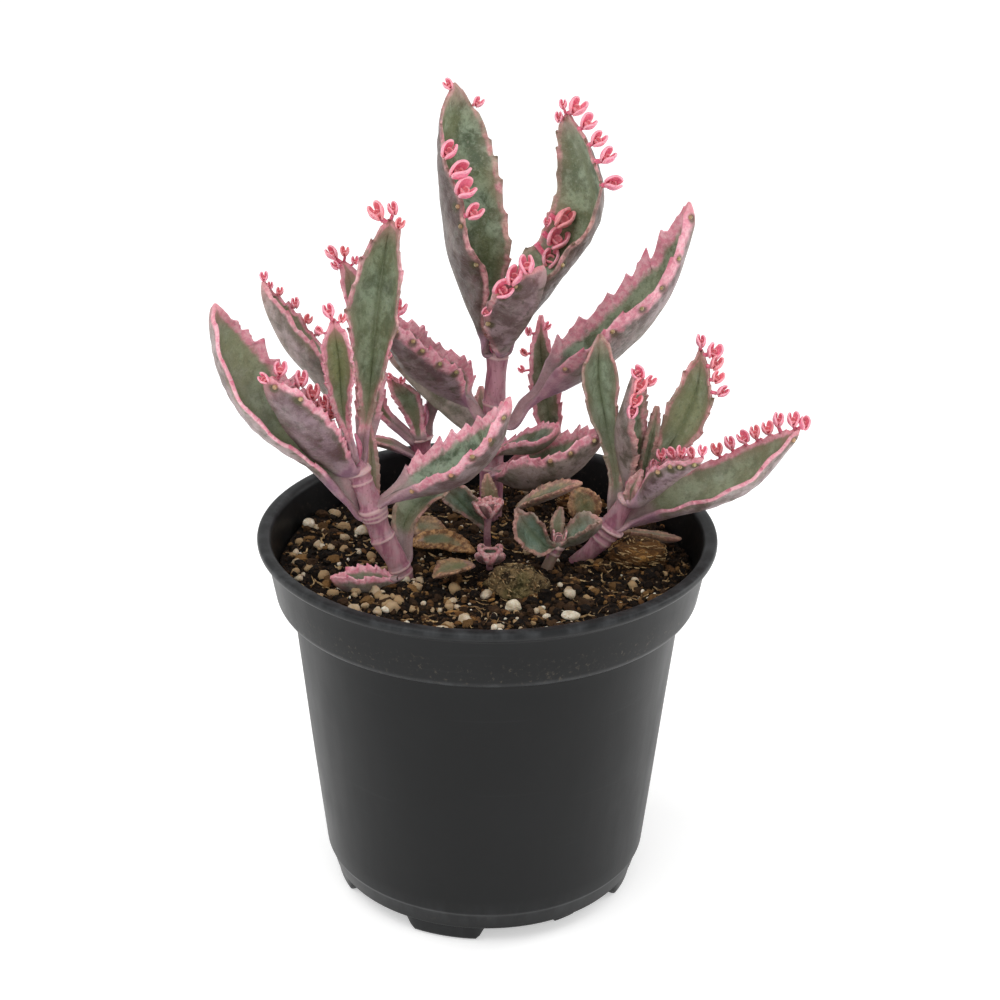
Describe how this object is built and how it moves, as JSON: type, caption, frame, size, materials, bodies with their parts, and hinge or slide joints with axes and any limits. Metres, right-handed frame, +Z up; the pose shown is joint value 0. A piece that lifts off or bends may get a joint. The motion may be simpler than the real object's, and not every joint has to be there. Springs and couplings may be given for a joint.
{
  "type": "potted kalanchoe",
  "caption": "Variegated mother-of-thousands kalanchoe with folded, toothed leaves edged in tiny plantlets, growing in a round black nursery pot.",
  "frame": {"origin": "middle of the whole plant's footprint, on the plane that the pot's feet stand on; the pot's own axis is 5.5 mm towards -X of it", "axes": "+Z up, -Y towards the picture's front, +X to the right seen from the front"},
  "size_m": [0.1333, 0.108, 0.1901],
  "materials": {
    "black_plastic": "satin, lightly scuffed",
    "potting_mix": "crumbly peat and bark mix",
    "stem_skin": "waxy mauve skin",
    "leaf_skin": "waxy grey-green with a pink margin, purple-grey underneath",
    "dry_leaf": "dull, drying",
    "bark": "fibrous bark",
    "moss": "mossy clod of fibre",
    "mineral_grain": "dusty pale grain"
  },
  "bodies": {
    "root": {"bark_chunk_mid": "bark", "bark_chunk_right": "bark", "leaf_b1": "leaf_skin", "leaf_b2": "leaf_skin", "leaf_b3": "leaf_skin", "leaf_b4": "leaf_skin", "leaf_c1": "leaf_skin", "leaf_c2": "leaf_skin", "leaf_c3": "leaf_skin", "leaf_c4": "leaf_skin", "leaf_c5": "leaf_skin", "leaf_c6": "leaf_skin", "leaf_c7": "leaf_skin", "leaf_c8": "leaf_skin", "leaf_l1": "leaf_skin", "leaf_l10": "leaf_skin", "leaf_l2": "leaf_skin", "leaf_l3": "leaf_skin", "leaf_l4": "leaf_skin", "leaf_l5": "leaf_skin", "leaf_l6": "leaf_skin", "leaf_l7": "leaf_skin", "leaf_l8": "leaf_skin", "leaf_l9": "leaf_skin", "leaf_m1": "leaf_skin", "leaf_m10": "leaf_skin", "leaf_m12": "leaf_skin", "leaf_m2": "leaf_skin", "leaf_m3": "leaf_skin", "leaf_m4": "leaf_skin", "leaf_m5": "leaf_skin", "leaf_m6": "leaf_skin", "leaf_m8": "leaf_skin", "leaf_m9": "leaf_skin", "leaf_r1": "leaf_skin", "leaf_r2": "leaf_skin", "leaf_r3": "leaf_skin", "leaf_r4": "leaf_skin", "leaf_r5": "leaf_skin", "leaf_r6": "leaf_skin", "leaf_r7": "leaf_skin", "leaf_r8": "leaf_skin", "moss_clod": "moss", "old_leaf_1": "dry_leaf", "old_leaf_2": "dry_leaf", "perlite_1": "mineral_grain", "perlite_2": "mineral_grain", "perlite_3": "mineral_grain", "perlite_4": "mineral_grain", "pot": "black_plastic", "rosette_low": "leaf_skin", "rosette_stalked": "leaf_skin", "soil": "potting_mix", "stem_back": "stem_skin", "stem_centre": "stem_skin", "stem_left": "stem_skin", "stem_middle": "stem_skin", "stem_right": "stem_skin"}
  },
  "joints": []
}
